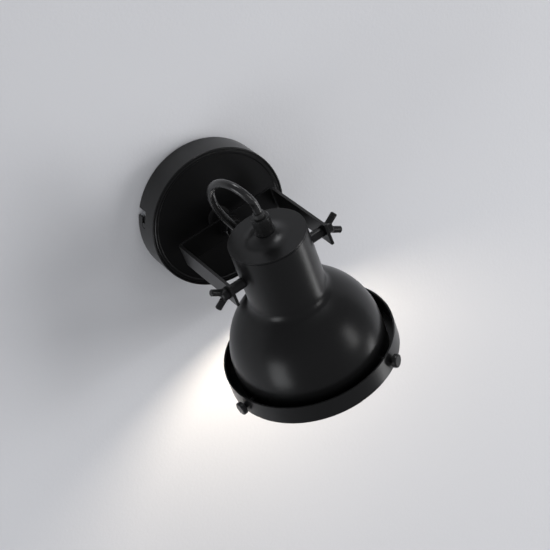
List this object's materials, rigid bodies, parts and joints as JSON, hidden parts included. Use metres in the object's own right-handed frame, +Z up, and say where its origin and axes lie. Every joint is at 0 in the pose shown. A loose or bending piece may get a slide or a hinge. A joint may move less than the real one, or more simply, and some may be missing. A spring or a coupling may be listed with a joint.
{
  "type": "wall spotlight",
  "caption": "Wall spotlight with a bell shade that tilts between the arms of a swivelling bracket on a round canopy, fed by a looped flex.",
  "frame": {"origin": "centre of the canopy's back rim, in the plane of the wall", "axes": "-Y out of the wall into the room, +Z up, +X along the head's pivot axis"},
  "size_m": [0.1241, 0.155, 0.1655],
  "materials": {
    "satin_black": "fine satin black powder coat",
    "black_turned": "satin black coat on turned and cast hardware",
    "bush_rubber": "matte black",
    "cable_sheath": "smooth black sheath",
    "zinc_steel": "zinc plated",
    "brass": "plain",
    "bulb_metal": "bright rolled",
    "bulb_glass": "frosted, lit warm white",
    "white_plastic": "moulded",
    "holder_plastic": "moulded black",
    "lead_insulation": "extruded",
    "nylon": "plain black"
  },
  "bodies": {
    "wall_bar": {"mounting_bar": "zinc_steel", "bayonet_pegs": "black_turned", "earth_screw": "brass", "earth_tag": "brass", "terminal_block": "white_plastic", "terminal_clamps": "brass", "inner_leads": "lead_insulation"},
    "rose": {"rose_cover": "satin_black", "stem_washer_inner": "nylon", "stem_washer_outer": "nylon"},
    "bracket": {"u_bracket": "satin_black", "stem_tube": "zinc_steel", "stem_nut": "zinc_steel", "stem_sleeve": "satin_black", "gland_washer": "black_turned", "base_gland": "black_turned", "base_gland_bush": "bush_rubber", "cable": "cable_sheath"},
    "head": {"shade": "satin_black", "rear_cap": "satin_black", "trim_ring": "satin_black", "ring_screws": "black_turned", "head_gland": "black_turned", "head_gland_bush": "bush_rubber", "head_tube": "zinc_steel", "head_leads": "lead_insulation", "head_washer": "zinc_steel", "head_nut": "zinc_steel", "lamp_holder": "holder_plastic", "holder_shell": "brass", "holder_contact": "brass", "bulb_cap": "bulb_metal", "bulb_globe": "bulb_glass", "pivot_studs": "black_turned", "pivot_spacers": "black_turned", "stud_nuts": "zinc_steel"},
    "left_wing_nut": {"wing_nut_left": "black_turned"},
    "right_wing_nut": {"wing_nut_right": "black_turned"}
  },
  "joints": [
    {"name": "canopy_lock", "type": "hinge", "parent": "wall_bar", "child": "rose", "pos_m": [0, 0, 0], "axis": [0, -1, 0], "range_deg": [0, 9]},
    {"name": "bracket_swivel", "type": "hinge", "parent": "rose", "child": "bracket", "pos_m": [0, -0.02, 0], "axis": [0, -1, 0], "range_deg": [-165, 165]},
    {"name": "head_tilt", "type": "hinge", "parent": "bracket", "child": "head", "pos_m": [0, -0.103, 0], "axis": [1, 0, 0], "range_deg": [-70, 12], "deforming": ["cable"]},
    {"name": "left_nut_turn", "type": "hinge", "parent": "head", "child": "left_wing_nut", "pos_m": [-0.041, -0.103, 0], "axis": [1, 0, 0], "continuous": true},
    {"name": "right_nut_turn", "type": "hinge", "parent": "head", "child": "right_wing_nut", "pos_m": [0.041, -0.103, 0], "axis": [1, 0, 0], "continuous": true}
  ]
}
